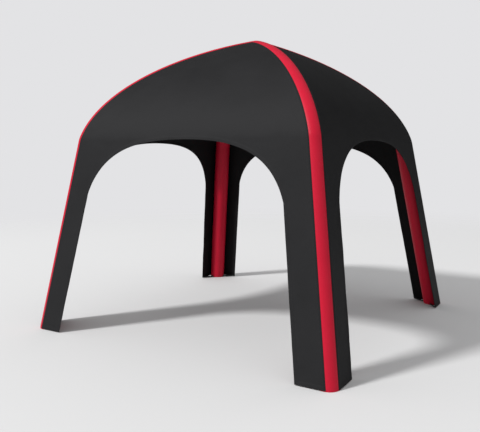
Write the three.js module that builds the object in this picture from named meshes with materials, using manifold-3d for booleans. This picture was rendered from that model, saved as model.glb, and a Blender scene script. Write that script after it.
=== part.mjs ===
// Inflatable pavilion: four air tubes stand at the corners of a square, lean in, bend at the shoulder
// and meet at a pointed crown. Four taut cloth sides close the dome between them, each sewn along two
// tubes and cut with an arched doorway. Short straps tie the foot of each side to the tubes.
// Millimetres, +Z up, with the origin on the floor under the crown and the front facing -Y.
import * as THREE from "three";
import { mergeVertices } from "three/addons/utils/BufferGeometryUtils.js";
import Module from "manifold-3d";

const wasm = await Module();
wasm.setup();

// Air tubes, drawn in the upright plane through the crown and one corner
const FOOT_REACH = 2091.6; // from under the crown to the outermost line of a tube, at the floor
const LEG_LEAN = 12.82; // degrees that a leg leans in from upright
const SHOULDER_HEIGHT = 1762; // where the straight leg turns into the roof
const SHOULDER_EASE = 18; // length of leg, and of roof, that the bend takes up
const ROOF_START = 67; // degrees above level, just past the shoulder
const ROOF_START_PULL = 520; // how strongly the roof line keeps that direction
const CROWN_HEIGHT = 2725; // where the outermost lines meet
const ROOF_END = 11.3; // degrees above level, at the crown
const ROOF_END_PULL = 748;
const TUBE_RADIUS = 86;
const TUBE_SIDES = 20;
const CROWN_GAP = 0.4; // between the mitred ends of the tubes

// Cloth sides
const CLOTH = 2; // thickness
const CLOTH_CLEARANCE = 0.6; // between the cloth and the tube that it lies on
const SEAM_ANGLE = 34; // degrees round the tube, from its outermost line to a side's sewn edge
const SEAM_LAP = 5; // least degrees of the tube that the cloth lies on, past that edge
const HEM_HEIGHT = 7; // the tubes stand on the floor, and the sides' foot hems hang clear of it
const STRIP = 309; // cloth beside each tube in the legs, from the corner of the square to the free edge
const SPRING_HEIGHT = 1265; // where the straight free edge turns into the arch
const ARCH_START = 19.4; // degrees from upright, at the foot of the arch
const ARCH_START_PULL = 396;
const ARCH_HEIGHT = 1742;
const ARCH_TOP_PULL = 528;
const TIP_HALF_WIDTH = 12; // of the blunt tip under the crown

// Foot straps, standing on edge, level with the foot hems
const STRAP_HEIGHT = 15;
const STRAP_THICKNESS = 2;
const STRAP_CLEARANCE = 0.5; // to the tube and to the cloth
const STRAP_FLANK = 62; // from the tube's innermost line round to where a strap meets it, seen from inside
const STRAP_OVERRUN = 15; // drawn this much too long, then cut to the tube

// Fineness of the lofts
const LEG_STEPS = 4;
const BEND_STEPS = 4;
const ROOF_STEPS = 16;
const ARCH_STEPS = 12;
const CLOTH_COLUMNS = 3;
const LAP_COLUMNS = 2;
const OVERRUN = 60; // tubes and cloth are drawn this much too long, then cut to the floor and crown
const SAME_POINT = 1e-3; // corners nearer than this are one corner
const HALVINGS = 40; // when a length along a tube is searched for

const SLEEVE_RED = new THREE.MeshStandardMaterial({ color: 0xc3203c, roughness: 0.6, metalness: 0 });
const CANOPY_BLACK = new THREE.MeshStandardMaterial({ color: 0x2a2a2c, roughness: 0.75, metalness: 0 });
const WEBBING_BLACK = new THREE.MeshStandardMaterial({ color: 0x1b1b1c, roughness: 0.8, metalness: 0 });

// Corner and side names, each a quarter turn on from the one before
const CORNERS = ["front_right", "back_right", "back_left", "front_left"];
const SIDES = ["front", "right", "back", "left"];
const QUARTER_TURN = Math.PI / 2;

// Directions at the front right corner: out along its diagonal, and round its tube to the front side
const ALONG_X = new THREE.Vector3(1, 0, 0);
const UP = new THREE.Vector3(0, 0, 1);
const REACH = new THREE.Vector3(1, -1, 0).normalize();
const ROUND = new THREE.Vector3(-1, -1, 0).normalize();

const { degToRad, radToDeg, lerp } = THREE.MathUtils;

// Outermost line of a tube: x is the distance from the crown's axis, y the height
const rising = (degrees) => new THREE.Vector2(-Math.cos(degToRad(degrees)), Math.sin(degToRad(degrees)));
const moved = (point, way, length) => point.clone().addScaledVector(way, length);

const legWay = rising(90 - LEG_LEAN);
const roofWay = rising(ROOF_START);
const crownWay = rising(ROOF_END);
const foot = new THREE.Vector2(FOOT_REACH, 0);
const shoulder = moved(foot, legWay, SHOULDER_HEIGHT / legWay.y);
const crown = new THREE.Vector2(0, CROWN_HEIGHT);
const legTop = moved(shoulder, legWay, -SHOULDER_EASE);
const roofFoot = moved(shoulder, roofWay, SHOULDER_EASE);

const ridge = new THREE.CurvePath();
ridge.add(new THREE.LineCurve(moved(foot, legWay, -OVERRUN), legTop));
ridge.add(new THREE.QuadraticBezierCurve(legTop, shoulder, roofFoot));
ridge.add(
  new THREE.CubicBezierCurve(
    roofFoot,
    moved(shoulder, roofWay, ROOF_START_PULL),
    moved(crown, crownWay, -ROOF_END_PULL),
    crown,
  ),
);
ridge.add(new THREE.LineCurve(crown, moved(crown, crownWay, OVERRUN)));

// Lengths along that line at which the leg, the bend, the roof and the overrun end
const [LEG_END, BEND_END, ROOF_END_LENGTH, LINE_END] = ridge.getCurveLengths();

function stepsBetween(from, to, count) {
  return Array.from({ length: count }, (_, i) => lerp(from, to, (i + 1) / count));
}

const BEND_LENGTHS = stepsBetween(LEG_END, BEND_END, BEND_STEPS);
const ROOF_LENGTHS = stepsBetween(BEND_END, ROOF_END_LENGTH, ROOF_STEPS);

// The front right tube at one length: its centre, its outward direction, the front cloth's outward
// direction, and the degrees round the tube at which the cloth leaves it
function tubeAt(length) {
  const share = length / LINE_END;
  const point = ridge.getPoint(share);
  const way = ridge.getTangent(share);
  const along = REACH.clone().multiplyScalar(way.x).addScaledVector(UP, way.y);
  const out = REACH.clone().multiplyScalar(way.y).addScaledVector(UP, -way.x);
  const centre = REACH.clone().multiplyScalar(point.x).addScaledVector(UP, point.y);
  centre.addScaledVector(out, -TUBE_RADIUS);
  const clothOut = new THREE.Vector3().crossVectors(ALONG_X, along).normalize();
  const tangentAngle = radToDeg(clothOut.angleTo(out));
  return { centre, out, clothOut, leaving: Math.max(tangentAngle, SEAM_ANGLE + SEAM_LAP) };
}

function roundTube(tube, degrees) {
  const turn = degToRad(degrees);
  return tube.out.clone().multiplyScalar(Math.cos(turn)).addScaledVector(ROUND, Math.sin(turn));
}

function onTube(tube, degrees, radius) {
  return tube.centre.clone().addScaledVector(roundTube(tube, degrees), radius);
}

// A closed surface from its faces of three or four corners, each seen anticlockwise from outside
function facesToGeometry(faces) {
  const corners = faces.flatMap(([a, b, c, d]) => (d ? [a, b, c, a, c, d] : [a, b, c]));
  return new THREE.BufferGeometry().setFromPoints(corners);
}

function toSolid(geometry) {
  const bare = geometry.clone();
  bare.deleteAttribute("normal");
  bare.deleteAttribute("uv");
  const merged = mergeVertices(bare, SAME_POINT);
  return new wasm.Manifold(
    new wasm.Mesh({
      numProp: 3,
      vertProperties: merged.attributes.position.array,
      triVerts: new Uint32Array(merged.index.array),
    }),
  );
}

function toGeometry(solid) {
  const mesh = solid.getMesh();
  const geometry = new THREE.BufferGeometry();
  geometry.setAttribute("position", new THREE.BufferAttribute(mesh.vertProperties, 3));
  geometry.setIndex(new THREE.BufferAttribute(mesh.triVerts, 1));
  geometry.computeVertexNormals();
  return geometry;
}

// A block of space between two corners, for cutting to the floor and to the crown
function blockBetween(low, high) {
  const size = high.clone().sub(low);
  const block = new THREE.BoxGeometry(size.x, size.y, size.z);
  const middle = low.clone().add(high).multiplyScalar(0.5);
  return toSolid(block.translate(middle.x, middle.y, middle.z));
}

// The front right tube, too long at both ends
function longTube(radius) {
  const legLengths = [0, ...stepsBetween(0, LEG_END, LEG_STEPS)];
  const tubes = [...legLengths, ...BEND_LENGTHS, ...ROOF_LENGTHS, LINE_END].map(tubeAt);
  const rings = tubes.map((tube) =>
    Array.from({ length: TUBE_SIDES }, (_, i) => onTube(tube, (360 * i) / TUBE_SIDES, radius)),
  );
  const last = rings.length - 1;
  const faces = [];
  for (let i = 0; i < TUBE_SIDES; i++) {
    const next = (i + 1) % TUBE_SIDES;
    for (let r = 0; r < last; r++) {
      faces.push([rings[r][next], rings[r][i], rings[r + 1][i], rings[r + 1][next]]);
    }
    faces.push([tubes[0].centre, rings[0][i], rings[0][next]]);
    faces.push([tubes[last].centre, rings[last][next], rings[last][i]]);
  }
  return toSolid(facesToGeometry(faces));
}

// One air tube, at the front right corner: cut level at the floor, and mitred where the tubes meet
function airTube() {
  const corner = blockBetween(
    new THREE.Vector3(CROWN_GAP / 2, -2 * FOOT_REACH, 0),
    new THREE.Vector3(2 * FOOT_REACH, -CROWN_GAP / 2, 2 * CROWN_HEIGHT),
  );
  return toGeometry(longTube(TUBE_RADIUS).intersect(corner));
}

// The front side's cloth runs level from tube to tube, so one profile gives its whole surface:
// the point where it leaves the front right tube, at each length of that tube
const CLOTH_RADIUS = TUBE_RADIUS + CLOTH_CLEARANCE + CLOTH / 2;

function leavingPoint(length) {
  const tube = tubeAt(length);
  return onTube(tube, tube.leaving, CLOTH_RADIUS);
}

// The length at which a measure of the leaving point, falling or rising with length, reaches a value
function lengthWhere(measure, value) {
  const rises = measure(leavingPoint(ROOF_END_LENGTH)) > measure(leavingPoint(0));
  let low = 0;
  let high = ROOF_END_LENGTH;
  for (let i = 0; i < HALVINGS; i++) {
    const middle = (low + high) / 2;
    const below = measure(leavingPoint(middle)) < value;
    if (below === rises) low = middle;
    else high = middle;
  }
  return (low + high) / 2;
}

const lengthAtHeight = (height) => lengthWhere((point) => point.z, height);

// One row of the right half of the front cloth, from its inner edge to the seam on the tube: each
// point of the middle of the cloth with its outward direction
function clothRow(innerX, innerLength, outerLength) {
  const tube = tubeAt(outerLength);
  const edge = onTube(tube, tube.leaving, CLOTH_RADIUS);
  const row = [];
  for (let i = 0; i < CLOTH_COLUMNS; i++) {
    const share = i / CLOTH_COLUMNS;
    const length = lerp(innerLength, outerLength, share);
    const level = leavingPoint(length);
    row.push({ point: level.setX(lerp(innerX, edge.x, share)), out: tubeAt(length).clothOut });
  }
  const fold = tube.clothOut.clone().add(roundTube(tube, tube.leaving)).normalize();
  row.push({ point: edge, out: fold });
  for (const degrees of stepsBetween(tube.leaving, SEAM_ANGLE, LAP_COLUMNS)) {
    row.push({ point: onTube(tube, degrees, CLOTH_RADIUS), out: roundTube(tube, degrees) });
  }
  return row;
}

// One cloth side, between the two front tubes
function clothSide() {
  const freeEdge = (length) => -leavingPoint(length).y - STRIP;
  const springLength = lengthAtHeight(SPRING_HEIGHT);
  const archTopLength = lengthAtHeight(ARCH_HEIGHT);
  const tipLength = lengthWhere((point) => point.x, TIP_HALF_WIDTH);

  const spring = new THREE.Vector2(freeEdge(springLength), SPRING_HEIGHT);
  const arch = new THREE.CubicBezierCurve(
    spring,
    moved(spring, rising(90 - ARCH_START), ARCH_START_PULL),
    new THREE.Vector2(ARCH_TOP_PULL, ARCH_HEIGHT),
    new THREE.Vector2(0, ARCH_HEIGHT),
  );

  const rows = [0, ...stepsBetween(0, springLength, LEG_STEPS)].map((length) =>
    clothRow(freeEdge(length), length, length),
  );
  const archOuter = stepsBetween(springLength, LEG_END, ARCH_STEPS);
  archOuter.forEach((outer, i) => {
    const onArch = arch.getPoint((i + 1) / ARCH_STEPS);
    const top = i + 1 === ARCH_STEPS;
    rows.push(clothRow(top ? 0 : onArch.x, lengthAtHeight(onArch.y), outer));
  });
  const archTopRow = rows.length - 1;
  const bendInner = stepsBetween(archTopLength, BEND_END, BEND_STEPS);
  BEND_LENGTHS.forEach((outer, i) => rows.push(clothRow(0, bendInner[i], outer)));
  const roof = ROOF_LENGTHS.filter((length) => length < tipLength);
  [...roof, tipLength].forEach((length) => rows.push(clothRow(0, length, length)));

  const outer = rows.map((row) => row.map(({ point, out }) => moved(point, out, CLOTH / 2)));
  const inner = rows.map((row) => row.map(({ point, out }) => moved(point, out, -CLOTH / 2)));
  const last = rows.length - 1;
  const seam = rows[0].length - 1;
  const half = [];
  for (let r = 0; r < last; r++) {
    for (let c = 0; c < seam; c++) {
      half.push([outer[r][c], outer[r][c + 1], outer[r + 1][c + 1], outer[r + 1][c]]);
      half.push([inner[r + 1][c], inner[r + 1][c + 1], inner[r][c + 1], inner[r][c]]);
    }
    half.push([outer[r][seam], inner[r][seam], inner[r + 1][seam], outer[r + 1][seam]]);
    if (r < archTopRow) half.push([inner[r][0], outer[r][0], outer[r + 1][0], inner[r + 1][0]]);
  }
  for (let c = 0; c < seam; c++) {
    half.push([inner[0][c], inner[0][c + 1], outer[0][c + 1], outer[0][c]]);
    half.push([outer[last][c], outer[last][c + 1], inner[last][c + 1], inner[last][c]]);
  }
  const mirrored = half.map((face) => face.map((p) => new THREE.Vector3(-p.x, p.y, p.z)).reverse());

  const aboveHem = blockBetween(
    new THREE.Vector3(-2 * FOOT_REACH, -2 * FOOT_REACH, HEM_HEIGHT),
    new THREE.Vector3(2 * FOOT_REACH, 0, 2 * CROWN_HEIGHT),
  );
  return toGeometry(toSolid(facesToGeometry([...half, ...mirrored])).intersect(aboveHem));
}

// Plan of the strap from the front cloth's inner face into the flank of the front right tube
function strapPlan() {
  const lean = degToRad(LEG_LEAN);
  const top = HEM_HEIGHT + STRAP_HEIGHT;
  const deep = TUBE_RADIUS / Math.cos(lean);
  const tubeMiddle = FOOT_REACH - deep - top * Math.tan(lean);
  const endY = leavingPoint(lengthAtHeight(top)).y + CLOTH + STRAP_CLEARANCE;
  const clothReach = tubeMiddle - deep - STRAP_CLEARANCE;
  const clothEnd = new THREE.Vector2(clothReach * Math.SQRT2 + endY, endY);

  const flankReach = tubeMiddle - deep * Math.sqrt(1 - (STRAP_FLANK / TUBE_RADIUS) ** 2);
  const flank = REACH.clone().multiplyScalar(flankReach).addScaledVector(ROUND, STRAP_FLANK);
  const way = new THREE.Vector2(flank.x, flank.y).sub(clothEnd).normalize();
  const inward = new THREE.Vector2(-way.y, way.x);
  const tubeEnd = moved(new THREE.Vector2(flank.x, flank.y), way, STRAP_OVERRUN);
  const innerSlide = (STRAP_THICKNESS * inward.y) / way.y; // keeps the cloth end flat against the cloth
  const innerClothEnd = moved(moved(clothEnd, inward, STRAP_THICKNESS), way, -innerSlide);
  return [clothEnd, tubeEnd, moved(tubeEnd, inward, STRAP_THICKNESS), innerClothEnd];
}

// One foot strap, cut to the tube
function footStrap(plan) {
  const upright = { depth: STRAP_HEIGHT, bevelEnabled: false };
  const shape = new THREE.ExtrudeGeometry(new THREE.Shape(plan), upright);
  const strap = toSolid(shape.translate(0, 0, HEM_HEIGHT));
  return toGeometry(strap.subtract(longTube(TUBE_RADIUS + STRAP_CLEARANCE)));
}

const pavilion = new THREE.Group();
pavilion.name = "inflatable_pavilion";

// The same piece at each corner or side, a quarter turn apart
function addRoundCrown(prefix, names, geometry, material) {
  names.forEach((name, i) => {
    const piece = new THREE.Mesh(geometry, material);
    piece.name = prefix + name;
    piece.rotation.z = i * QUARTER_TURN;
    pavilion.add(piece);
  });
}

addRoundCrown("air_tube_", CORNERS, airTube(), SLEEVE_RED);
addRoundCrown("side_", SIDES, clothSide(), CANOPY_BLACK);

// Each side's strap to the tube at its right, seen from outside, and the mirrored one at its left
const plan = strapPlan();
const mirroredPlan = plan.map((p) => new THREE.Vector2(-p.y, -p.x));
const nextSides = [...SIDES.slice(1), SIDES[0]];
addRoundCrown("foot_strap_right_of_", SIDES, footStrap(plan), WEBBING_BLACK);
addRoundCrown("foot_strap_left_of_", nextSides, footStrap(mirroredPlan), WEBBING_BLACK);

export default pavilion;
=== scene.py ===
# Looks of the inflatable pavilion: red air tubes, taut black cloth sides with their sewing, foot straps.
# Metres, +Z up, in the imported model's frame: origin on the floor under the crown, front facing -Y.
import math
from typing import NamedTuple
import bpy
import numpy as np
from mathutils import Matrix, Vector


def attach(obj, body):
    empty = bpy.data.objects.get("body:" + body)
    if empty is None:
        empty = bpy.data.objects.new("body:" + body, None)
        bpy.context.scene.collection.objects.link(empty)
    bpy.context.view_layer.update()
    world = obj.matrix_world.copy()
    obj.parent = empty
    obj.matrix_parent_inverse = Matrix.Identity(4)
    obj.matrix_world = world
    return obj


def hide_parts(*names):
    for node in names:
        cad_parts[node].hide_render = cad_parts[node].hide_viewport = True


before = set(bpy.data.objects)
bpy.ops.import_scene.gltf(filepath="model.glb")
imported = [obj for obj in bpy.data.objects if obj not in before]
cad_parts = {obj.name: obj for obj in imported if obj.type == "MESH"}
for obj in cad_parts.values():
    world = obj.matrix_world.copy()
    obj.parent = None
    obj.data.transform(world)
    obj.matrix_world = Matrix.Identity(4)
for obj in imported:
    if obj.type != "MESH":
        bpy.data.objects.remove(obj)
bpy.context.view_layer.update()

# Air tubes, drawn in the upright plane through the crown and one corner
FOOT_REACH = 2.0916  # from under the crown to the outermost line of a tube, at the floor
LEG_LEAN = 12.82  # degrees that a leg leans in from upright
SHOULDER_HEIGHT = 1.762  # where the straight leg turns into the roof
SHOULDER_EASE = 0.018  # length of leg, and of roof, that the bend takes up
ROOF_START = 67  # degrees above level, just past the shoulder
ROOF_START_PULL = 0.520  # how strongly the roof line keeps that direction
CROWN_HEIGHT = 2.725  # where the outermost lines meet
ROOF_END = 11.3  # degrees above level, at the crown
ROOF_END_PULL = 0.748
TUBE_RADIUS = 0.086
CROWN_GAP = 0.0004  # between the mitred ends of the tubes

# Relief of the sleeves
FOOT_ROUNDING = 0.003  # how far a sleeve draws in at the floor
MITRE_ROUNDING = 0.001  # and at the crown
END_REACH = 0.009  # length over which it does so
SEAM_DRAW = 0.0016  # how far the sewn edges of the sides pull into the sleeve
SEAM_DRAW_WIDTH = 0.005
INNER_CREASES = 26  # across the inside of the bent tube
CREASE_DEPTH = 0.0016
CREASE_WIDTH = 0.007
CREASES_BELOW_SHOULDER = 0.08  # length at which the first one lies
CREASES_BELOW_CROWN = 0.18  # and the last one
CREASE_SIDES = (95, 145)  # degrees round the tube where a crease starts, and where it has its full depth
CREASE_SHIFT = 0.02  # most that chance moves a crease along the tube
CREASE_LEAN = 0.03  # most that chance moves its ends
CREASE_LEAST = 0.4  # least share of the full depth
SLEEVE_SEED = 10

# Cloth sides
CLOTH = 0.002  # thickness
CLOTH_CLEARANCE = 0.0006  # between the cloth and the tube that it lies on
SEAM_ANGLE = 34  # degrees round the tube, from its outermost line to a side's sewn edge
SEAM_LAP = 5  # least degrees of the tube that the cloth lies on, past that edge
HEM_HEIGHT = 0.007  # the tubes stand on the floor, and the sides' foot hems hang clear of it
STRIP = 0.309  # cloth beside each tube in the legs, from the corner of the square to the free edge
SPRING_HEIGHT = 1.265  # where the straight free edge turns into the arch
ARCH_START = 19.4  # degrees from upright, at the foot of the arch
ARCH_START_PULL = 0.396
ARCH_HEIGHT = 1.742
ARCH_TOP_PULL = 0.528
TIP_HALF_WIDTH = 0.012  # of the blunt tip under the crown

# Hems and seams, as steps away from an edge and the thickness that the folded cloth adds
HEM_STEPS = np.array([0.0, 0.0015, 0.006, 0.016, 0.027, 0.030, 0.034])
SEAM_STEPS = np.array([0.0, 0.005, 0.011, 0.018, 0.030])
HEM_WIDTH = 0.028
SEAM_WIDTH = 0.022
STEP_WIDTH = 0.002  # over which the added thickness comes and goes
HEM_OUTSIDE = 0.0009
HEM_INSIDE = 0.0014
SEAM_OUTSIDE = 0.0010
SEAM_TAPER = 0.012  # over which the cloth thins towards its sewn edge, and sinks into the sleeve
SEAM_EDGE_OUTSIDE = -0.0018  # from the middle of the cloth out to its outer face, at that edge
SEAM_EDGE_INSIDE = 0.0026
LEAST_SLANT = 0.35  # for a row that meets an edge very slantwise

# Slight unevenness of the taut cloth
UNEVEN = 0.0006  # height of each broad wave
UNEVEN_WAVES = 5
UNEVEN_LONGEST = 0.9
UNEVEN_SHORTEST = 0.35
FLUTTER = 0.0008  # height of the waves along the doorway's hem
FLUTTER_REACH = 0.10
FLUTTER_WAVES = [(21, 17), (37, -29)]  # radians a metre, up and across the cloth
HELD_REACH = 0.12  # distance from the seam over which the cloth becomes free
PUCKER = 0.0003  # height of the gathers along a seam
PUCKER_PITCH = 0.055
PUCKER_REACH = 0.045
PUCKER_DRIFT = 1.5  # radians by which the gathers leave an even pitch
PUCKER_DRIFT_WAVE = 9  # radians a metre
LAST_PHASE = 6  # radians, the most that chance moves a wave along
CLOTH_SEED = 40
SEED_LIMIT = 1 << 30

# Soft ridges and troughs that fan from each shoulder into the cloth
RIDGES = [  # distance from the shoulder at the start, degrees above level, length, width, height
    (0.030, -24, 0.42, 0.030, 0.0011),
    (0.035, -8, 0.50, 0.034, -0.0009),
    (0.030, 9, 0.46, 0.030, 0.0010),
    (0.040, 27, 0.38, 0.028, -0.0008),
    (0.035, 46, 0.34, 0.026, 0.0008),
]
RIDGE_TURN = 4  # most degrees that chance turns one
RIDGE_LENGTHS = (0.85, 1.15)  # shares of its length and height that chance gives one
RIDGE_HEIGHTS = (0.7, 1.1)

# Sewing thread
STITCH_PITCH = 0.0075
STITCH_LENGTH = 0.0058
STITCH_WIDTH = 0.0013
STITCH_HEIGHT = 0.0007
DOORWAY_STITCHES = (0.006, 0.023)  # rows, by their distance from the edge
SEAM_STITCHES = (0.005, 0.017)

# Foot straps, ribbed webbing standing on edge, level with the foot hems
STRAP_HEIGHT = 0.015
STRAP_THICKNESS = 0.002
STRAP_CLEARANCE = 0.0005  # to the tube and to the cloth
STRAP_FLANK = 0.062  # from the tube's innermost line round to where a strap meets it, seen from inside
STRAP_RIBS = 6
RIB_DEPTH = 0.0004

# Fineness of the meshes
RIDGE_POINTS = 1200  # on each stretch of a tube's outermost line
PROFILE_POINTS = 2400
TUBE_RINGS = 360
TUBE_SIDES = 120
LEG_ROWS = 44
ARCH_ROWS = 84
CLOTH_COLUMNS = 34
LAP_COLUMNS = 4
FLOOR_FADE = 0.3  # height over which the lap's rows turn level towards the floor
STRAP_COLUMNS = 30
STRAP_ROWS = 24
SHARP_EDGE = 50  # degrees between faces

# Woven materials: darkest and lightest tone, least and most roughness, shine, thread pitch and relief
WEAVES = {
    "canopy_black": dict(dark=(0.0125, 0.0125, 0.0132), light=(0.0165, 0.0165, 0.0174),
                         rough=(0.57, 0.63), shine=0.085, pitch=0.0016, depth=0.0003),
    "sleeve_red": dict(dark=(0.395, 0.0068, 0.0235), light=(0.443, 0.0080, 0.0275),
                       rough=(0.36, 0.44), shine=0.11, pitch=0.0012, depth=0.0002),
    "webbing_black": dict(dark=(0.006, 0.006, 0.0065), light=(0.013, 0.013, 0.014),
                          rough=(0.55, 0.68), shine=0.25, pitch=0.0024, depth=0.0004),
    "thread_black": dict(dark=(0.010, 0.010, 0.011), light=(0.022, 0.022, 0.023),
                         rough=(0.40, 0.50), shine=0.40, pitch=0.0006, depth=0.0001),
}
INSIDE_SHADE_AND_TONE = 0.4  # of the cloth's darker inner face, against its outer one: partly a darker inner coating, partly painted shade for the shaded inside of the tent
WAVE_PERIOD = math.pi / 10  # of a wave texture with scale 1
THREAD_BUMP = 0.5  # strength of the thread relief
SLUB_STRETCH = (90, 9, 1)  # of the noise for thick and thin threads, which run up the cloth
SLUB_NOISE = dict(Scale=4, Detail=3)
DRIFT_NOISE = dict(Scale=2.3, Detail=5, Roughness=0.6)
TONE_RANGE = (0.7, 1.3)  # of slub and drift together, for the darkest and the lightest tone
POLISH_RANGE = (0.3, 0.7)  # of drift, for the least and the most roughness

# Corner and side names, each a quarter turn on from the one before
CORNERS = ["front_right", "back_right", "back_left", "front_left"]
SIDES = ["front", "right", "back", "left"]

# Directions at the front right corner: out along its diagonal, and round its tube to the front side
HALF_ROOT = math.sqrt(0.5)
UP = np.array([0.0, 0.0, 1.0])
REACH = np.array([HALF_ROOT, -HALF_ROOT, 0.0])
ROUND = np.array([-HALF_ROOT, -HALF_ROOT, 0.0])

# Camera, light and floor
CAMERA_PLACE = (3.0122, -5.1716, 1.6082)
CAMERA_AZIMUTH = 31.705  # degrees, from the front towards the right
CAMERA_DROP = 5.746  # degrees that it looks down
LENS = 44.95  # millimetres
SENSOR = 36  # millimetres wide
KEY_PLACE = (-10.2, -17.1, 19.5)
KEY_RADIUS = 1.8
KEY_POWER = 47.5
BACKDROP = (0.768, 0.768, 0.783)
SOFT_LIGHT = (0.91, 0.91, 0.92)  # from all round
MIRRORED_LIGHT = (0.12, 0.12, 0.12)  # the dark studio that glossy surfaces mirror
FLOOR_TONE = 0.46
FLOOR_HALF = 30
FLOOR_SOLID = 6.0  # radius at which the floor starts to melt into the backdrop
FLOOR_GONE = 13.0


def unit(vectors):
    return vectors / np.linalg.norm(vectors, axis=-1, keepdims=True)


def smooth(values):
    """0 below 0, 1 above 1, and an even S between."""
    share = np.clip(values, 0, 1)
    return share * share * (3 - 2 * share)


def running_length(points):
    """Length of a line up to each of its points."""
    steps = np.linalg.norm(np.diff(points, axis=0), axis=1)
    return np.concatenate([[0], np.cumsum(steps)])


def interp_columns(wanted, known, values):
    """Each column of values, read at the wanted places."""
    return np.stack([np.interp(wanted, known, column) for column in values.T], -1)


def rising(degrees):
    """A direction in a tube's plane, towards the crown and this many degrees above level."""
    return np.array([-math.cos(math.radians(degrees)), math.sin(math.radians(degrees))])


def bezier(controls, count):
    """Points on the curve that two, three or four control points give."""
    share = np.linspace(0, 1, count)[:, None]
    points = [np.ones_like(share) * control for control in controls]
    while len(points) > 1:
        points = [a + (b - a) * share for a, b in zip(points, points[1:])]
    return points[0]


# Shape of the tubes


def ridge_line():
    """Outermost line of a tube from floor to crown, as reach and height, and the length of its leg."""
    leg_way = rising(90 - LEG_LEAN)
    roof_way = rising(ROOF_START)
    foot = np.array([FOOT_REACH, 0])
    crown = np.array([0, CROWN_HEIGHT])
    shoulder = foot + leg_way * SHOULDER_HEIGHT / leg_way[1]
    leg_top = shoulder - leg_way * SHOULDER_EASE
    roof_foot = shoulder + roof_way * SHOULDER_EASE
    roof_pull = shoulder + roof_way * ROOF_START_PULL
    crown_pull = crown - rising(ROOF_END) * ROOF_END_PULL
    leg = bezier([foot, leg_top], RIDGE_POINTS)
    bend = bezier([leg_top, shoulder, roof_foot], RIDGE_POINTS)
    roof = bezier([roof_foot, roof_pull, crown_pull, crown], RIDGE_POINTS)
    return np.vstack([leg, bend[1:], roof[1:]]), running_length(leg)[-1]


RIDGE, LEG_END = ridge_line()
RIDGE_LENGTH = running_length(RIDGE)
RIDGE_WAY = unit(np.gradient(RIDGE, RIDGE_LENGTH, axis=0))
SHOULDER_LENGTH = LEG_END + SHOULDER_EASE


def tube_at(length):
    """Centre, outward direction and way of the front right tube at these lengths of its outermost line."""
    point = interp_columns(length, RIDGE_LENGTH, RIDGE)
    way = unit(interp_columns(length, RIDGE_LENGTH, RIDGE_WAY))
    out = way[..., 1:] * REACH - way[..., :1] * UP
    centre = point[..., :1] * REACH + point[..., 1:] * UP - TUBE_RADIUS * out
    return centre, out, way


def on_tube(length, degrees, radius):
    """Points round the front right tube, and their outward directions."""
    centre, out, _ = tube_at(length)
    turn = np.radians(degrees)[..., None]
    around = np.cos(turn) * out + np.sin(turn) * ROUND
    return centre + np.asarray(radius)[..., None] * around, around


def mitre_lengths(degrees, radius, gap=0.0):
    """Lengths at which lines round a tube come to its neighbour, at the crown."""
    ends = []
    for turn in np.radians(degrees):
        reach = RIDGE[:, 0] - RIDGE_WAY[:, 1] * (TUBE_RADIUS - radius * math.cos(turn))
        ends.append(np.interp(-radius * abs(math.sin(turn)) - gap, -reach, RIDGE_LENGTH))
    return np.array(ends)


def floor_length(degrees, radius):
    """Length of the outermost line at which a line round the tube, at this angle, meets the floor."""
    return (TUBE_RADIUS - radius * np.cos(np.radians(degrees))) * math.tan(math.radians(LEG_LEAN))


# Shape of the cloth: it runs level from tube to tube, so one profile gives the whole front side


CLOTH_RADIUS = TUBE_RADIUS + CLOTH_CLEARANCE + CLOTH / 2  # of the middle of the cloth, on the tube


def cloth_out_at(length):
    """Outward direction of the front cloth, level with these lengths of the tube."""
    way = tube_at(length)[2]
    return unit(np.stack([np.zeros_like(way[..., 0]), -way[..., 1], -way[..., 0] * HALF_ROOT], -1))


def leaving_at(length):
    """Degrees round the tube at which the cloth leaves it."""
    out = tube_at(length)[1]
    tangent = np.degrees(np.arccos(np.sum(out * cloth_out_at(length), -1)))
    return np.maximum(tangent, SEAM_ANGLE + SEAM_LAP)


def leaving_point(length):
    """Points where the cloth leaves the tube, and the tube's outward directions there."""
    return on_tube(length, leaving_at(length), np.full_like(length, CLOTH_RADIUS))


def cloth_profile():
    """Lengths of the tube from floor to tip, the points where the cloth leaves it, and their rise."""
    edge, _ = leaving_point(RIDGE_LENGTH)
    start = np.interp(HEM_HEIGHT, edge[:, 2], RIDGE_LENGTH)
    end = np.interp(-TIP_HALF_WIDTH, -edge[:, 0], RIDGE_LENGTH)
    length = np.linspace(start, end, PROFILE_POINTS)
    edge, _ = leaving_point(length)
    return length, edge, running_length(edge[:, 1:])


PROFILE_LENGTH, PROFILE_EDGE, PROFILE_RISE = cloth_profile()
PROFILE_OUT = cloth_out_at(PROFILE_LENGTH)
TIP_RISE = PROFILE_RISE[-1]


def half_width_at(rise):
    return np.interp(rise, PROFILE_RISE, PROFILE_EDGE[:, 0])


def rise_at_height(height):
    return np.interp(height, PROFILE_EDGE[:, 2], PROFILE_RISE)


def flat_to_space(across, rise):
    """Places on the front side, and their outward directions, from flat places on the cloth."""
    place = interp_columns(rise, PROFILE_RISE, PROFILE_EDGE)
    place[..., 0] = across
    return place, unit(interp_columns(rise, PROFILE_RISE, PROFILE_OUT))


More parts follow.
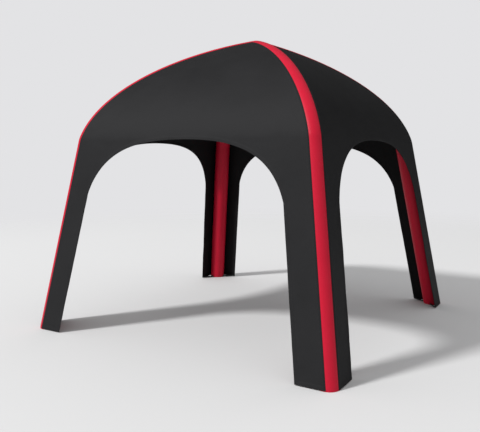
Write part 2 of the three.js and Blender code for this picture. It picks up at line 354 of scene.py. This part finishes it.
def doorway_rows():
    """Flat ends of each row of the right half: on the doorway's edge, and where the cloth meets the tube.

    Past the doorway the rows fan from its arch up the tube, and the last one is on the middle line.
    """
    spring_rise = rise_at_height(SPRING_HEIGHT)
    leg = np.concatenate([HEM_STEPS[:-1], np.linspace(HEM_STEPS[-1], spring_rise, LEG_ROWS)])
    free = -np.interp(leg, PROFILE_RISE, PROFILE_EDGE[:, 1]) - STRIP
    spring = np.array([free[-1], SPRING_HEIGHT])
    arch = bezier([
        spring,
        spring + rising(90 - ARCH_START) * ARCH_START_PULL,
        np.array([ARCH_TOP_PULL, ARCH_HEIGHT]),
        np.array([0, ARCH_HEIGHT]),
    ], RIDGE_POINTS)
    arch[:, 1] = rise_at_height(arch[:, 1])
    arch_length = running_length(arch)
    even = np.linspace(0, 1, ARCH_ROWS + 1)[1:] * arch_length[-1]
    inner = np.vstack([np.stack([free, leg], 1), interp_columns(even, arch_length, arch)])
    climb = np.linspace(spring_rise, TIP_RISE, ARCH_ROWS)[1:]
    outer_rise = np.concatenate([leg, climb, [TIP_RISE]])
    outer = np.stack([half_width_at(outer_rise), outer_rise], 1)
    outer[-1, 0] = 0
    inner[-1, 0] = 0
    return inner, outer


def slant(edge, way):
    """How squarely each row meets an edge: 1 where it is at right angles."""
    along = unit(np.gradient(edge, axis=0))
    return np.clip(np.abs(along[:, 0] * way[:, 1] - along[:, 1] * way[:, 0]), LEAST_SLANT, 1)


class ClothGrid(NamedTuple):
    """A grid on the right half of the front cloth, a row for each line from the doorway to the seam."""
    place: np.ndarray  # in space
    out: np.ndarray  # outward direction
    flat: np.ndarray  # place on the flat cloth, across and up
    run: np.ndarray  # distance along the row
    doorway_gap: np.ndarray  # distance from the doorway's edge


def free_cloth(inner, outer):
    """The cloth between the doorway and the tube."""
    span = np.linalg.norm(outer - inner, axis=1)
    way = (outer - inner) / span[:, None]
    square = slant(inner, way)[:, None]
    hem = HEM_STEPS / square
    seam = span[:, None] - SEAM_STEPS[::-1] / slant(outer, way)[:, None]
    share = np.linspace(0, 1, CLOTH_COLUMNS + 2)[1:-1]
    middle = hem[:, -1:] + (seam[:, :1] - hem[:, -1:]) * share
    run = np.hstack([hem, middle, seam])
    flat = inner[:, None] + run[..., None] * way[:, None]
    place, out = flat_to_space(flat[..., 0], flat[..., 1])
    fold = leaving_point(np.interp(outer[:, 1], PROFILE_RISE, PROFILE_LENGTH))[1]
    out[:-1, -1] = unit(out[:-1, -1] + fold[:-1])
    return ClothGrid(place, out, flat, run, run * square)


def lapped_cloth(outer, free):
    """The cloth on the tube, up to its sewn edge. Its last row runs on to the tip between the two tubes."""
    rise = outer[:, 1:]
    length = np.interp(rise, PROFILE_RISE, PROFILE_LENGTH)
    leaving = leaving_at(length)
    degrees = leaving + (SEAM_ANGLE - leaving) * np.linspace(0, 1, LAP_COLUMNS + 1)[1:]
    level = np.clip(1 - rise / FLOOR_FADE, 0, 1)
    lower = floor_length(degrees, CLOTH_RADIUS) - floor_length(leaving, CLOTH_RADIUS)
    length = length + lower * level
    length[-1] = mitre_lengths(degrees[-1], CLOTH_RADIUS)
    place, out = on_tube(length, degrees, np.full_like(degrees, CLOTH_RADIUS))
    run = CLOTH_RADIUS * np.radians(leaving - degrees)
    flat = np.stack([outer[:, :1] + run, np.broadcast_to(rise, run.shape)], -1)

    place[-1, :, 0] = 0
    out[-1, :, 0] = 0
    out[-1] = unit(out[-1])
    run[-1] = running_length(np.vstack([free.place[-1, -1:], place[-1]]))[1:]
    flat[-1] = np.stack([np.zeros(LAP_COLUMNS), TIP_RISE + run[-1]], 1)
    return ClothGrid(place, out, flat, free.run[:, -1:] + run, np.full_like(run, TUBE_RADIUS))


def cloth_half():
    """The right half of the front cloth, from the doorway to the sewn edge."""
    inner, outer = doorway_rows()
    free = free_cloth(inner, outer)
    lap = lapped_cloth(outer, free)
    return ClothGrid(*(np.concatenate(parts, 1) for parts in zip(free, lap)))


HALF = cloth_half()
SEAM_GAP = HALF.run[:, -1:] - HALF.run  # distance from the sewn edge
SEAM_GAP[-1] *= HALF_ROOT  # the last row runs between two seams that meet at right angles


def band(gap, width):
    """1 inside a hem of this width, and 0 past it."""
    return 1 - smooth((gap - width) / STEP_WIDTH)


def thickness():
    """How far the cloth's outer and inner faces lie from its middle."""
    foot_gap = HALF.flat[..., 1]
    hem = np.maximum(band(HALF.doorway_gap, HEM_WIDTH), band(foot_gap, HEM_WIDTH))
    seam = band(SEAM_GAP, SEAM_WIDTH)
    outward = CLOTH / 2 + np.maximum(HEM_OUTSIDE * hem, SEAM_OUTSIDE * seam)
    inward = CLOTH / 2 + HEM_INSIDE * hem * (1 - band(SEAM_GAP, 2 * SEAM_WIDTH))
    edge = 1 - smooth(SEAM_GAP / SEAM_TAPER)
    outward += (SEAM_EDGE_OUTSIDE - outward) * edge
    inward += (SEAM_EDGE_INSIDE - inward) * edge
    return outward, inward


OUTWARD, INWARD = thickness()


def ridge_relief(across, rise, draws):
    """Ridges and troughs fanning from the shoulder, on the side of the cloth where across is above 0."""
    shoulder_rise = rise_at_height(SHOULDER_HEIGHT)
    inward = half_width_at(shoulder_rise) - across
    above = rise - shoulder_rise
    relief = np.zeros_like(across)
    for start, degrees, length, width, height in RIDGES:
        turn = math.radians(degrees + draws.uniform(-RIDGE_TURN, RIDGE_TURN))
        along = inward * math.cos(turn) + above * math.sin(turn) - start
        aside = above * math.cos(turn) - inward * math.sin(turn)
        share = np.clip(along / (length * draws.uniform(*RIDGE_LENGTHS)), 0, 1)
        swell = np.sin(np.pi * share) ** 2 * np.exp(-((aside / width) ** 2))
        relief += height * draws.uniform(*RIDGE_HEIGHTS) * swell
    return relief


def cloth_relief(flat, draws):
    """Height of the cloth's slight unevenness above its true form."""
    across, rise = flat[..., 0], flat[..., 1]
    relief = np.zeros_like(across)
    for wave in np.geomspace(UNEVEN_LONGEST, UNEVEN_SHORTEST, UNEVEN_WAVES):
        turn = draws.uniform(0, math.pi)
        phase = draws.uniform(0, 2 * math.pi)
        along = across * math.cos(turn) + rise * math.sin(turn)
        relief += UNEVEN * np.sin(along * 2 * math.pi / wave + phase)
    for mirror in (1, -1):
        relief += np.where(mirror * across > 0, ridge_relief(mirror * across, rise, draws), 0)
    phases = (draws.uniform(0, LAST_PHASE), 0)
    flutter = [np.sin(rise * up + across * aside + phase)
               for (up, aside), phase in zip(FLUTTER_WAVES, phases)]
    relief += FLUTTER * np.mean(flutter, axis=0) * np.exp(-HALF.doorway_gap / FLUTTER_REACH)
    relief *= smooth(SEAM_GAP / HELD_REACH)
    drift = PUCKER_DRIFT * np.sin(rise * PUCKER_DRIFT_WAVE + draws.uniform(0, LAST_PHASE))
    gather = np.sin(2 * np.pi * rise / PUCKER_PITCH + drift)
    held = np.exp(-SEAM_GAP / PUCKER_REACH) * smooth((SEAM_GAP - SEAM_WIDTH) / SEAM_WIDTH)
    return relief + PUCKER * gather * held


# Meshes


def quads(numbers):
    """Faces of a grid of point numbers, anticlockwise for columns to the right and rows up."""
    corners = [numbers[:-1, :-1], numbers[:-1, 1:], numbers[1:, 1:], numbers[1:, :-1]]
    return np.stack(corners, -1).reshape(-1, 4)


def shell(place, out, outward, inward, faces):
    """A closed sheet: both faces of a surface, joined along its open edges."""
    count = len(place)
    points = np.vstack([place + out * outward[:, None], place - out * inward[:, None]])
    starts = faces.ravel()
    ends = np.roll(faces, -1, axis=1).ravel()
    open_edge = ~np.isin(starts * count + ends, ends * count + starts)
    a, b = starts[open_edge], ends[open_edge]
    rim = np.stack([b, a, a + count, b + count], 1)
    return points, np.vstack([faces, faces[:, ::-1] + count, rim])


def turned(points, quarter_turns):
    """Points turned about the crown's axis."""
    x, y, z = points.T
    for _ in range(quarter_turns):
        x, y = -y, x
    return np.stack([x, y, z], 1)


def make_piece(name, points, faces, material, flat, inside=0):
    """A smooth mesh object. The material reads its flat place, and inside, which is 1 on an inner face."""
    mesh = bpy.data.meshes.new(name)
    mesh.from_pydata(points.tolist(), [], faces)
    mesh.shade_smooth()
    mesh.set_sharp_from_angle(angle=math.radians(SHARP_EDGE))
    kept = mesh.attributes.new("cloth_place", "FLOAT_VECTOR", "POINT")
    cloth_place = np.column_stack([flat, np.broadcast_to(inside, len(flat))])
    kept.data.foreach_set("vector", cloth_place.astype(np.float32).ravel())
    mesh.materials.append(material)
    piece = bpy.data.objects.new(name, mesh)
    bpy.context.scene.collection.objects.link(piece)
    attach(piece, "root")
    return piece


# Materials


def add_node(tree, kind, settings=(), **inputs):
    """A node with its settings and with its inputs, as values or links. _ stands for a space."""
    node = tree.nodes.new("ShaderNode" + kind)
    for name, value in dict(settings).items():
        setattr(node, name, value)
    for name, value in inputs.items():
        socket = node.inputs[name.replace("_", " ")]
        if isinstance(value, bpy.types.NodeSocket):
            tree.links.new(value, socket)
        else:
            socket.default_value = value
    return node


def add_up(tree, first, second):
    total = add_node(tree, "Math", {"operation": "ADD"})
    tree.links.new(first, total.inputs[0])
    tree.links.new(second, total.inputs[1])
    return total.outputs[0]


def in_range(tree, value, known, wanted=(0, 1), settings=()):
    """A value carried from one range to another."""
    node = add_node(tree, "MapRange", settings, Value=value, From_Min=known[0], From_Max=known[1],
                    To_Min=wanted[0], To_Max=wanted[1])
    return node.outputs[0]


def weave_height(tree, place, pitch):
    """Height of a plain weave: threads one way over threads the other way."""
    scale = WAVE_PERIOD / pitch
    warp = add_node(tree, "TexWave", {"bands_direction": "X"}, Vector=place, Scale=scale)
    weft = add_node(tree, "TexWave", {"bands_direction": "Y"}, Vector=place, Scale=scale)
    return add_up(tree, warp.outputs["Fac"], weft.outputs["Fac"])


def weave_colour(tree, place, drift, dark, light):
    """Tone of thicker and thinner threads with a slow drift, darker on the inner face, partly as painted
    shade for the inside of the tent.
    """
    stretched = add_node(tree, "Mapping", Vector=place, Scale=SLUB_STRETCH).outputs[0]
    slub = add_node(tree, "TexNoise", Vector=stretched, **SLUB_NOISE).outputs["Fac"]
    ramp = add_node(tree, "ValToRGB", Fac=in_range(tree, add_up(tree, slub, drift), TONE_RANGE))
    ramp.color_ramp.elements[0].color = (*dark, 1)
    ramp.color_ramp.elements[1].color = (*light, 1)
    inside = add_node(tree, "SeparateXYZ", Vector=place).outputs["Z"]
    # Painted shade: the inner face is dimmed, partly for a darker inner coating and partly to stand in for
    # the shade inside the tent
    inside_shade_and_tone = in_range(tree, inside, (0, 1), (1, INSIDE_SHADE_AND_TONE))
    tone = ramp.outputs["Color"]
    return add_node(tree, "VectorMath", {"operation": "SCALE"}, Vector=tone, Scale=inside_shade_and_tone).outputs[0]


def woven_material(name, dark, light, rough, shine, pitch, depth):
    """Woven cloth: thread relief, thicker and thinner threads, and a slow drift of tone and polish."""
    material = bpy.data.materials.new(name)
    material.use_nodes = True
    tree = material.node_tree
    shader = tree.nodes["Principled BSDF"]
    place = add_node(tree, "Attribute", {"attribute_name": "cloth_place"}).outputs["Vector"]
    drift = add_node(tree, "TexNoise", Vector=place, **DRIFT_NOISE).outputs["Fac"]
    colour = weave_colour(tree, place, drift, dark, light)
    polish = in_range(tree, drift, POLISH_RANGE, rough)
    height = weave_height(tree, place, pitch)
    bump = add_node(tree, "Bump", Strength=THREAD_BUMP, Distance=depth, Height=height)
    tree.links.new(colour, shader.inputs["Base Color"])
    tree.links.new(polish, shader.inputs["Roughness"])
    tree.links.new(bump.outputs[0], shader.inputs["Normal"])
    shader.inputs["Specular IOR Level"].default_value = shine
    return material


def mix_shaders(tree, share, first, second):
    """The first shader, and this share of the second."""
    mix = add_node(tree, "MixShader", Fac=share)
    tree.links.new(first.outputs[0], mix.inputs[1])
    tree.links.new(second.outputs[0], mix.inputs[2])
    return mix


def floor_material():
    """A pale floor that melts into the backdrop far from the part."""
    material = bpy.data.materials.new("floor_pale")
    material.use_nodes = True
    tree = material.node_tree
    tree.nodes.clear()
    place = add_node(tree, "TexCoord").outputs["Object"]
    radius = add_node(tree, "VectorMath", {"operation": "LENGTH"}, Vector=place).outputs["Value"]
    even = {"interpolation_type": "SMOOTHSTEP"}
    fade = in_range(tree, radius, (FLOOR_SOLID, FLOOR_GONE), settings=even)
    solid = add_node(tree, "BsdfDiffuse", Color=(FLOOR_TONE, FLOOR_TONE, FLOOR_TONE, 1))
    clear = add_node(tree, "BsdfTransparent")
    mix = mix_shaders(tree, fade, solid, clear)
    output = add_node(tree, "OutputMaterial")
    tree.links.new(mix.outputs[0], output.inputs["Surface"])
    return material


MATERIALS = {name: woven_material(name, **weave) for name, weave in WEAVES.items()}


# Sleeves


def sleeve_relief(length, degrees, start, end, draws):
    """Height of the sleeve above a true tube: rounded ends, drawn-in seams, creases inside the bends."""
    relief = -FOOT_ROUNDING * np.exp(-(length - start) / END_REACH)
    relief -= MITRE_ROUNDING * np.exp(-(end - length) / END_REACH)
    aside = TUBE_RADIUS * np.radians(np.abs(degrees) - SEAM_ANGLE)
    relief -= SEAM_DRAW * np.exp(-((aside / SEAM_DRAW_WIDTH) ** 2))
    shallow, deep = CREASE_SIDES
    inside = smooth((np.abs(degrees) - shallow) / (deep - shallow))
    first = SHOULDER_LENGTH - CREASES_BELOW_SHOULDER
    last = RIDGE_LENGTH[-1] - CREASES_BELOW_CROWN
    for even in np.linspace(first, last, INNER_CREASES):
        middle = even + draws.uniform(-CREASE_SHIFT, CREASE_SHIFT)
        lean = draws.uniform(-CREASE_LEAN, CREASE_LEAN) * np.sin(np.radians(degrees))
        depth = CREASE_DEPTH * draws.uniform(CREASE_LEAST, 1)
        relief -= depth * inside * np.exp(-(((length - middle - lean) / CREASE_WIDTH) ** 2))
    return relief


def sleeve_faces(numbers):
    """Faces of a grid of rings, closed by one face at the floor and by one more point at the crown."""
    faces = quads(np.hstack([numbers, numbers[:, :1]])[:, ::-1]).tolist()
    ring = numbers[-1].tolist()
    faces += [[ring[i], ring[i - 1], numbers.size] for i in range(len(ring))]
    faces.append(numbers[0].tolist())
    return faces


def make_sleeve(corner, quarter_turns):
    """The sleeve of one tube, drawn at the front right corner: level at the floor, mitred at the crown."""
    degrees = np.linspace(-180, 180, TUBE_SIDES, endpoint=False)
    start = floor_length(degrees, TUBE_RADIUS)
    end = mitre_lengths(degrees, TUBE_RADIUS, CROWN_GAP * HALF_ROOT)
    length = start + (end - start) * np.linspace(0, 1, TUBE_RINGS)[:, None]
    around = np.broadcast_to(degrees, length.shape)
    draws = np.random.default_rng(SLEEVE_SEED + quarter_turns)
    place, _ = on_tube(length, around, TUBE_RADIUS + sleeve_relief(length, around, start, end, draws))
    place[..., 2] = np.maximum(place[..., 2], 0)
    crown_point = np.array([[0, 0, place[-1, :, 2].mean()]]) + CROWN_GAP * REACH
    points = np.vstack([place.reshape(-1, 3), crown_point])
    faces = sleeve_faces(np.arange(length.size).reshape(length.shape))
    flat = np.stack([TUBE_RADIUS * np.radians(around), length], -1).reshape(-1, 2)
    flat = np.vstack([flat, flat[-1:]])
    sleeve = make_piece("sleeve_" + corner, turned(points, quarter_turns), faces,
                        MATERIALS["sleeve_red"], flat)
    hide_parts("air_tube_" + corner)


# Cloth sides


def cloth_halves(quarter_turns):
    """Flat place, place in space and outward direction of both halves of a side, with their unevenness."""
    seed = np.random.default_rng(CLOTH_SEED + quarter_turns).integers(SEED_LIMIT)
    halves = []
    for mirror in (1, -1):
        mirrored = np.array([mirror, 1, 1])
        flat = HALF.flat * mirrored[:2]
        out = HALF.out * mirrored
        relief = cloth_relief(flat, np.random.default_rng(seed))
        halves.append((flat, HALF.place * mirrored + out * relief[..., None], out))
    return halves


def cloth_faces():
    """Faces of both halves. The left half shares the right half's last row, on the middle line."""
    right = np.arange(HALF.run.size).reshape(HALF.run.shape)
    left = right + right.size
    left[-1] = right[-1]
    return np.vstack([quads(right), quads(left)[:, ::-1]])


def flat_area(place, faces):
    """Area of faces with four corners."""
    a, b, c, d = (place[faces[:, i]] for i in range(4))
    return np.linalg.norm(np.cross(c - a, d - b), axis=1).sum() / 2


def make_cloth(side, quarter_turns, halves):
    """One side's cloth, and the area of it."""
    flat, place, out = (np.concatenate(parts).reshape(-1, parts[0].shape[-1]) for parts in zip(*halves))
    used, numbers = np.unique(cloth_faces(), return_inverse=True)
    faces = numbers.reshape(-1, 4)
    outward = np.tile(OUTWARD.ravel(), 2)[used]
    inward = np.tile(INWARD.ravel(), 2)[used]
    points, all_faces = shell(place[used], out[used], outward, inward, faces)
    points[:, 2] = np.maximum(points[:, 2], HEM_HEIGHT)
    # 1 on the inner face, which the material dims: partly painted shade for the tent's shaded inside
    inside = np.repeat([0, 1], len(used))
    cloth = make_piece("cloth_" + side, turned(points, quarter_turns), all_faces.tolist(),
                       MATERIALS["canopy_black"], np.tile(flat[used], (2, 1)), inside)
    return cloth, flat_area(place[used], faces)


def across_rows(values, wanted):
    """Each row's value at a wanted distance along it."""
    rows = zip(wanted, HALF.run, values)
    return np.array([interp_columns(distance, run, row) for distance, run, row in rows])


def stitch_lines(place, out):
    """Lines of stitches on one half of a side, with their outward directions."""
    outer = place + out * OUTWARD[..., None]
    inner = place - out * INWARD[..., None]
    doorway_scale = HALF.run[:, 1] / HALF.doorway_gap[:, 1]
    lines = []
    for gap in DOORWAY_STITCHES:
        wanted = gap * doorway_scale
        normal = across_rows(out, wanted)
        lines.append((across_rows(outer, wanted), normal))
        lines.append((across_rows(inner, wanted), -normal))
    for gap in SEAM_STITCHES:
        wanted = HALF.run[:-1, -1] - gap
        lines.append((across_rows(outer[:-1], wanted), across_rows(out[:-1], wanted)))
    return lines


def stitch_row(path, out):
    """A bead of thread for each stitch along a line on the cloth: its points and faces."""
    run = running_length(path)
    middles = np.arange(STITCH_PITCH, run[-1] - STITCH_PITCH / 2, STITCH_PITCH)
    first = interp_columns(middles - STITCH_LENGTH / 2, run, path)
    last = interp_columns(middles + STITCH_LENGTH / 2, run, path)
    up = unit(interp_columns(middles, run, out))
    side = unit(np.cross(up, last - first)) * STITCH_WIDTH / 2
    middle = (first + last) / 2
    rise = up * STITCH_HEIGHT
    ends = [first, last]
    ring = [middle + side, middle + rise, middle - side, middle - rise / 2]
    bead = []
    for i in range(len(ring)):
        here, there = len(ends) + i, len(ends) + (i + 1) % len(ring)
        bead += [[0, there, here], [1, here, there]]
    points = np.stack(ends + ring, 1)
    faces = np.array(bead) + points.shape[1] * np.arange(len(middles))[:, None, None]
    return points.reshape(-1, 3), faces.reshape(-1, 3)


def make_stitching(side, quarter_turns, halves):
    """All the stitches of one side, as one piece."""
    points, faces, count = [], [], 0
    for _, place, out in halves:
        for path, normal in stitch_lines(place, out):
            row_points, row_faces = stitch_row(path, normal)
            points.append(row_points)
            faces.append(row_faces + count)
            count += len(row_points)
    points = np.vstack(points)
    return make_piece("stitching_" + side, turned(points, quarter_turns), np.vstack(faces).tolist(),
                      MATERIALS["thread_black"], points[:, [0, 2]])


def make_side(side, quarter_turns):
    """One side: its cloth, drawn at the front, with its stitches."""
    halves = cloth_halves(quarter_turns)
    cloth, area = make_cloth(side, quarter_turns, halves)
    thread = make_stitching(side, quarter_turns, halves)
    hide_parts("side_" + side)


# Foot straps


def strap_ends(height):
    """Ends of the front side's right strap at these heights: near the cloth, and by the tube's flank."""
    slope = math.tan(math.radians(LEG_LEAN))
    deep = TUBE_RADIUS / math.cos(math.radians(LEG_LEAN))
    top = HEM_HEIGHT + STRAP_HEIGHT
    cloth_reach = FOOT_REACH - 2 * deep - top * slope - STRAP_CLEARANCE
    cloth_y = np.interp(top, PROFILE_EDGE[:, 2], PROFILE_EDGE[:, 1]) + CLOTH + HEM_INSIDE + STRAP_CLEARANCE
    by_cloth = np.array([cloth_reach / HALF_ROOT + cloth_y, cloth_y, 0])
    to_flank = deep * (1 + math.sqrt(1 - (STRAP_FLANK / TUBE_RADIUS) ** 2))
    tube_reach = FOOT_REACH - to_flank - height * slope - STRAP_CLEARANCE
    return by_cloth, tube_reach[..., None] * REACH + STRAP_FLANK * ROUND


def make_strap(name, quarter_turns, mirrored):
    """A ribbed strap on edge from a side's foot to the tube, drawn at the front right corner."""
    share, level = np.meshgrid(np.linspace(0, 1, STRAP_COLUMNS), np.linspace(0, 1, STRAP_ROWS))
    height = HEM_HEIGHT + STRAP_HEIGHT * level
    by_cloth, by_tube = strap_ends(height)
    way = unit(by_tube[-1, -1] - by_cloth)
    inward = np.cross(UP, way)
    place = by_cloth + (by_tube - by_cloth) * share[..., None] + UP * height[..., None]
    place += inward * STRAP_THICKNESS / 2
    ribs = RIB_DEPTH * np.abs(np.sin(np.pi * STRAP_RIBS * level))
    half_thick = (STRAP_THICKNESS / 2 - RIB_DEPTH + ribs).ravel()
    out = np.broadcast_to(-inward, (share.size, 3))
    numbers = np.arange(share.size).reshape(share.shape)
    points, faces = shell(place.reshape(-1, 3), out, half_thick, half_thick, quads(numbers))
    if mirrored:
        points = points[:, [1, 0, 2]] * [-1, -1, 1]
        faces = faces[:, ::-1]
    span = np.linalg.norm(by_tube[-1, -1] - by_cloth)
    flat = np.tile(np.stack([share * span, level * STRAP_HEIGHT], -1).reshape(-1, 2), (2, 1))
    strap = make_piece("strap_" + name, turned(points, quarter_turns), faces.tolist(),
                       MATERIALS["webbing_black"], flat)
    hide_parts("foot_strap_" + name)


# Floor, light and camera


def make_floor():
    corners = np.array([[-1, -1, 0], [1, -1, 0], [1, 1, 0], [-1, 1, 0]]) * FLOOR_HALF
    mesh = bpy.data.meshes.new("floor")
    mesh.from_pydata(corners.tolist(), [], [[0, 1, 2, 3]])
    mesh.materials.append(floor_material())
    floor = bpy.data.objects.new("floor", mesh)
    bpy.context.scene.collection.objects.link(floor)


def make_studio():
    """A pale backdrop, soft light from all round, and little for glossy surfaces to mirror."""
    world = bpy.data.worlds.new("studio")
    world.use_nodes = True
    tree = world.node_tree
    tree.nodes.clear()
    ray = add_node(tree, "LightPath")
    soft = add_node(tree, "Background", Color=(*SOFT_LIGHT, 1))
    mirrored = add_node(tree, "Background", Color=(*MIRRORED_LIGHT, 1))
    backdrop = add_node(tree, "Background", Color=(*BACKDROP, 1))
    light = mix_shaders(tree, ray.outputs["Is Glossy Ray"], soft, mirrored)
    seen = mix_shaders(tree, ray.outputs["Is Camera Ray"], light, backdrop)
    output = add_node(tree, "OutputWorld")
    tree.links.new(seen.outputs[0], output.inputs["Surface"])
    bpy.context.scene.world = world
    bpy.context.scene.view_settings.view_transform = "Standard"


def make_key_light():
    """A far lamp, front left and high, as bright on the far floor as on the near one."""
    lamp = bpy.data.lights.new("key", "POINT")
    lamp.energy = KEY_POWER
    lamp.shadow_soft_size = KEY_RADIUS
    lamp.use_nodes = True
    tree = lamp.node_tree
    even = add_node(tree, "LightFalloff", Strength=1)
    tree.links.new(even.outputs["Constant"], tree.nodes["Emission"].inputs["Strength"])
    key = bpy.data.objects.new("key", lamp)
    key.location = KEY_PLACE
    bpy.context.scene.collection.objects.link(key)


def make_camera():
    azimuth = math.radians(CAMERA_AZIMUTH)
    drop = math.radians(CAMERA_DROP)
    level = math.cos(drop)
    back = Vector((math.sin(azimuth) * level, -math.cos(azimuth) * level, math.sin(drop)))
    lens = bpy.data.cameras.new("camera")
    lens.lens = LENS
    lens.sensor_width = SENSOR
    camera = bpy.data.objects.new("camera", lens)
    camera.location = CAMERA_PLACE
    camera.rotation_mode = "QUATERNION"
    camera.rotation_quaternion = (-back).to_track_quat("-Z", "Y")
    bpy.context.scene.collection.objects.link(camera)
    bpy.context.scene.camera = camera


make_camera()
make_studio()
make_key_light()
make_floor()
for turns, corner_name in enumerate(CORNERS):
    make_sleeve(corner_name, turns)
    make_strap("right_of_" + SIDES[turns], turns, mirrored=False)
    make_strap("left_of_" + SIDES[(turns + 1) % len(SIDES)], turns, mirrored=True)
for turns, side_name in enumerate(SIDES):
    make_side(side_name, turns)

bpy.context.view_layer.update()
